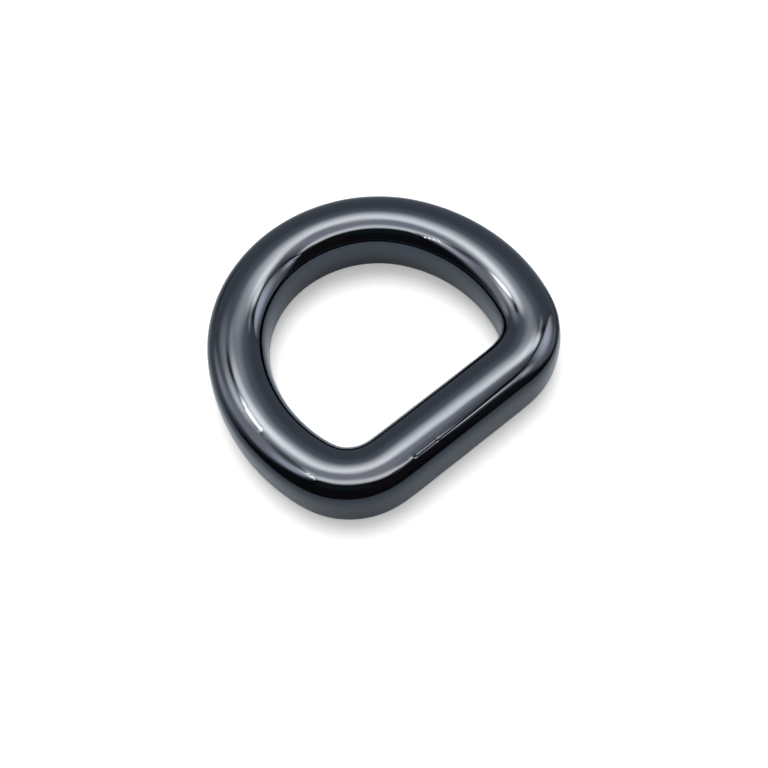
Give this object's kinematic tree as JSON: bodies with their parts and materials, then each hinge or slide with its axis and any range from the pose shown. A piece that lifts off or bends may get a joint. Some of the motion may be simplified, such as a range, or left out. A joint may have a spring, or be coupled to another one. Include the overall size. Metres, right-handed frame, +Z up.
{
  "type": "d ring",
  "caption": "Solid cast D ring: a straight strap bar and a round bow, joined by tight corners and gently bulging sides in one closed loop.",
  "frame": {"origin": "centre of the ring's footprint, on the surface that it lies on", "axes": "+X along the straight bar, +Y from the bar to the bow, +Z up through the opening"},
  "size_m": [0.031, 0.0284, 0.0061],
  "materials": {
    "gunmetal_plate": "polished black nickel plate over a zinc casting, nearly a mirror"
  },
  "bodies": {
    "root": {"ring": "gunmetal_plate"}
  },
  "joints": []
}
